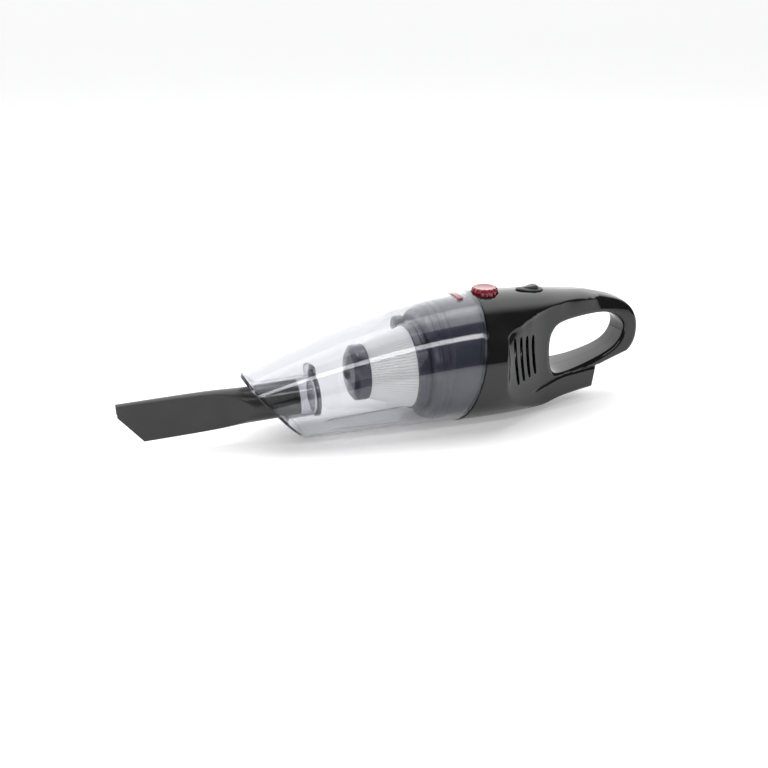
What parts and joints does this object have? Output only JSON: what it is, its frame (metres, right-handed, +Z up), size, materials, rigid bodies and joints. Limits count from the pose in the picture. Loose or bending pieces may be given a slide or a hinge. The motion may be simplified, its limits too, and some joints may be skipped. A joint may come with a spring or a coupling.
{
  "type": "handheld vacuum",
  "caption": "Cordless handheld vacuum with a clear pull-off dust cup, a cone filter, a crevice nozzle, a looped handle, a release button and a sliding switch.",
  "frame": {"origin": "on the floor under the middle of the overall length, at the bottom centre of the bounding box", "axes": "+X from the nozzle tip towards the handle, +Z up, the object lies on its belly"},
  "size_m": [0.4326, 0.1038, 0.1056],
  "materials": {
    "gloss_black": "polished black moulding",
    "satin_black": "satin black moulding",
    "grey_switch": "dark grey moulding",
    "clear": "clear, polished, slightly lilac at the edges",
    "smoke_rubber": "translucent dark grey",
    "slate": "dark slate blue-grey moulding",
    "red": "glossy red moulding",
    "paper": "white pleated paper",
    "steel": "plated steel",
    "rubber": "soft black rubber",
    "white_plastic": "natural white moulding",
    "fan_grey": "grey moulding",
    "cell_wrap": "blue shrink wrap over a metal can",
    "board_green": "green solder mask",
    "magnet": "sintered dark grey"
  },
  "bodies": {
    "housing": {"housing_left": "gloss_black", "housing_right": "gloss_black", "filter_holder": "slate", "cup_seal": "rubber", "fan_shroud": "white_plastic", "motor_plate": "white_plastic", "motor_can": "steel", "motor_end_cap": "white_plastic", "motor_mount": "rubber", "motor_magnet_1": "magnet", "motor_magnet_2": "magnet", "battery_cell_1": "cell_wrap", "battery_cell_2": "cell_wrap", "battery_tray": "satin_black", "circuit_board": "board_green", "charge_socket": "satin_black", "switch_body": "satin_black", "switch_bezel": "satin_black", "release_spring": "steel", "housing_screw_1": "steel", "housing_screw_2": "steel", "housing_screw_3": "steel", "housing_screw_4": "steel"},
    "cup": {"dust_cup": "clear", "flap_hinge_pin": "steel"},
    "nozzle": {"crevice_nozzle": "satin_black"},
    "flap": {"inlet_flap": "smoke_rubber"},
    "filter": {"filter_pleats": "paper", "filter_cap": "slate", "filter_base_ring": "slate", "filter_cage": "white_plastic"},
    "button": {"release_button": "red", "latch_bar": "red"},
    "switch": {"switch_slider": "grey_switch"},
    "rotor": {"motor_shaft": "steel", "armature": "steel", "impeller": "fan_grey"}
  },
  "joints": [
    {"name": "cup_slide", "type": "slide", "parent": "housing", "child": "cup", "axis": [-1, 0, 0], "range_m": [0, 0.115]},
    {"name": "nozzle_slide", "type": "slide", "parent": "cup", "child": "nozzle", "axis": [-0.9996, 0, -0.0297], "range_m": [0, 0.03]},
    {"name": "flap_hinge", "type": "hinge", "parent": "cup", "child": "flap", "pos_m": [-0.06589, 0, 0.054], "axis": [0, -1, 0], "range_deg": [0, 35]},
    {"name": "filter_pull", "type": "slide", "parent": "housing", "child": "filter", "axis": [-1, 0, 0], "range_m": [0, 0.02]},
    {"name": "button_press", "type": "slide", "parent": "housing", "child": "button", "axis": [0, 0, -1], "range_m": [0, 0.0025], "stiffness_N_per_m": 800, "springref_m": -0.002, "deforming": ["release_spring"]},
    {"name": "switch_slide", "type": "slide", "parent": "housing", "child": "switch", "axis": [-0.9972, 0, 0.075], "range_m": [0, 0.0035]},
    {"name": "rotor_spin", "type": "hinge", "parent": "housing", "child": "rotor", "pos_m": [0.095, 0, 0.0476], "axis": [1, 0, 0], "continuous": true}
  ]
}
